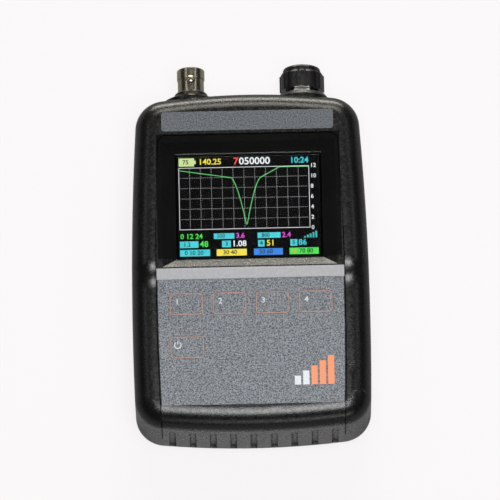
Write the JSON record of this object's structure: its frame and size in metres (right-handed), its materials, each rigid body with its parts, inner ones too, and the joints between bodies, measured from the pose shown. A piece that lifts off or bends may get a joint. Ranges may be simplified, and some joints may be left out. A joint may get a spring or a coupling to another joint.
{
  "type": "antenna analyzer",
  "caption": "Hand-held antenna analyzer: black moulded case with a colour display in a bezel, a membrane keypad, a bayonet antenna jack and a ribbed rotary knob on top.",
  "frame": {"origin": "on the flat back face, under the middle of the case", "axes": "+X to the right of the display, +Y towards the jack and the knob, +Z out of the display"},
  "size_m": [0.083, 0.1345, 0.032],
  "materials": {
    "case_black": "fine leather-grain moulded plastic",
    "back_brown": "moulded plastic",
    "label_grey": "speckled print film",
    "overlay_grey": "speckled membrane film",
    "clear_lens": "clear",
    "foam": "matt",
    "steel": "plain",
    "display": "lit colour display",
    "collar_black": "moulded plastic",
    "nickel": "nickel plated",
    "white_dielectric": "plain",
    "gold_brass": "plated",
    "knob_black": "moulded, slightly satin",
    "board_green": "solder mask",
    "switch_black": "plain",
    "cell_wrap": "shrink wrap"
  },
  "bodies": {
    "case": {"front_shell": "case_black", "front_panel": "case_black", "back_shell": "back_brown", "label_plate": "label_grey", "keypad_overlay": "overlay_grey", "display_window": "clear_lens", "display_gasket": "foam", "lcd_frame": "steel", "lcd_glass": "display", "jack_collar": "collar_black", "encoder_collar": "collar_black", "jack_body": "nickel", "jack_nut": "nickel", "jack_washer": "nickel", "jack_insulator": "white_dielectric", "jack_contact": "gold_brass", "encoder_case": "steel", "encoder_bushing": "steel", "encoder_nut": "nickel", "main_board": "board_green", "keypad_board": "board_green", "tact_switches": "switch_black", "rf_shield": "steel", "battery_tray": "switch_black", "battery_cells": "cell_wrap", "battery_springs": "steel", "battery_contacts": "steel", "case_screws": "steel", "board_screws": "steel"},
    "encoder_rotor": {"encoder_disc": "white_dielectric"},
    "knob": {"encoder_shaft": "steel", "knob": "knob_black", "knob_cap": "knob_black"},
    "battery_door": {"battery_door": "back_brown"},
    "key_1": {"key_1": "overlay_grey"},
    "key_2": {"key_2": "overlay_grey"},
    "key_3": {"key_3": "overlay_grey"},
    "key_4": {"key_4": "overlay_grey"},
    "key_power": {"key_power": "overlay_grey"}
  },
  "joints": [
    {"name": "knob_turn", "type": "hinge", "parent": "case", "child": "encoder_rotor", "pos_m": [0.01955, 0.062, 0.017], "axis": [0, 1, 0], "continuous": true},
    {"name": "knob_push", "type": "slide", "parent": "encoder_rotor", "child": "knob", "axis": [0, -1, 0], "range_m": [0, 0.0005], "stiffness_N_per_m": 6000},
    {"name": "key_1_press", "type": "slide", "parent": "case", "child": "key_1", "axis": [0, 0, -1], "range_m": [0, 0.0003], "stiffness_N_per_m": 4000},
    {"name": "key_2_press", "type": "slide", "parent": "case", "child": "key_2", "axis": [0, 0, -1], "range_m": [0, 0.0003], "stiffness_N_per_m": 4000},
    {"name": "key_3_press", "type": "slide", "parent": "case", "child": "key_3", "axis": [0, 0, -1], "range_m": [0, 0.0003], "stiffness_N_per_m": 4000},
    {"name": "key_4_press", "type": "slide", "parent": "case", "child": "key_4", "axis": [0, 0, -1], "range_m": [0, 0.0003], "stiffness_N_per_m": 4000},
    {"name": "key_power_press", "type": "slide", "parent": "case", "child": "key_power", "axis": [0, 0, -1], "range_m": [0, 0.0003], "stiffness_N_per_m": 4000},
    {"name": "battery_door_swing", "type": "hinge", "parent": "case", "child": "battery_door", "pos_m": [0, -0.02138, 0], "axis": [1, 0, 0], "range_deg": [0, 75]}
  ]
}
